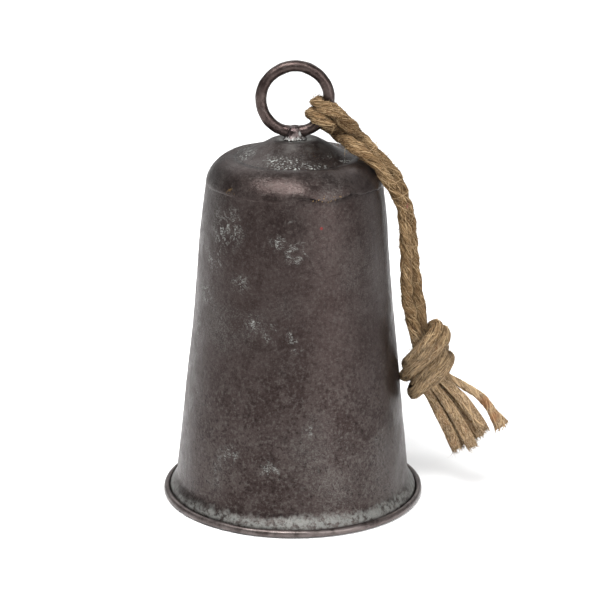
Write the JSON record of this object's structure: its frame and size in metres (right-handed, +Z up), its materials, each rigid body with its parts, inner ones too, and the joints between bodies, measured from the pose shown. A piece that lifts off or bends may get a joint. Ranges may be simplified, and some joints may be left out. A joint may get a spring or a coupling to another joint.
{
  "type": "yard dinner bell",
  "caption": "Conical sheet-metal dinner bell with a curled rim, domed crown, top ring, swinging clapper and a knotted jute rope looped through the ring.",
  "frame": {"origin": "centre of the mouth, on the plane that the curled rim rests on", "axes": "+Z up along the bell's axis, -Y is the front, the ring lies in the XZ plane and the rope hangs on the +X side"},
  "size_m": [0.1978, 0.1502, 0.2539],
  "materials": {
    "shell": "dark antiqued sheet metal with purple-brown patina, fine brushing and white oxide in the creases",
    "ring": "dark antiqued rod with bright rubbed edges",
    "iron": "dark forged iron with light rust",
    "jute": "natural three-strand jute, hairy"
  },
  "bodies": {
    "bell": {"bell_wall": "shell", "crown_cap": "shell", "suspension_ring": "ring", "hanger_stud": "ring", "stud_washer": "iron", "stud_nut": "iron"},
    "clapper_link": {"clapper_link": "iron"},
    "clapper": {"clapper_rod": "iron", "clapper_ball": "iron", "clapper_end_nut": "iron"},
    "rope_top": {"rope_bight": "jute", "rope_run_front": "jute", "rope_run_back": "jute", "rope_bend_front": "jute", "rope_bend_back": "jute"},
    "rope_end": {"rope_drop_front": "jute", "rope_drop_back": "jute", "rope_knot": "jute", "rope_tail_1": "jute", "rope_tail_2": "jute", "rope_tail_3": "jute", "rope_tail_4": "jute", "rope_tail_5": "jute", "rope_loose_strand": "jute"}
  },
  "joints": [
    {"name": "clapper_swing", "type": "hinge", "parent": "bell", "child": "clapper_link", "pos_m": [0, 0, 0.1925], "axis": [0, 1, 0], "range_deg": [-17, 17]},
    {"name": "clapper_sway", "type": "hinge", "parent": "clapper_link", "child": "clapper", "pos_m": [0, 0, 0.1817], "axis": [1, 0, 0], "range_deg": [-4, 4]},
    {"name": "rope_slide", "type": "hinge", "parent": "bell", "child": "rope_top", "pos_m": [0, 0, 0.23185], "axis": [0, -1, 0], "range_deg": [0, 115]},
    {"name": "rope_bend", "type": "hinge", "parent": "rope_top", "child": "rope_end", "pos_m": [0.056, -0.003, 0.184], "axis": [0, -1, 0], "range_deg": [0, 45], "deforming": ["rope_bend_front", "rope_bend_back"]}
  ]
}
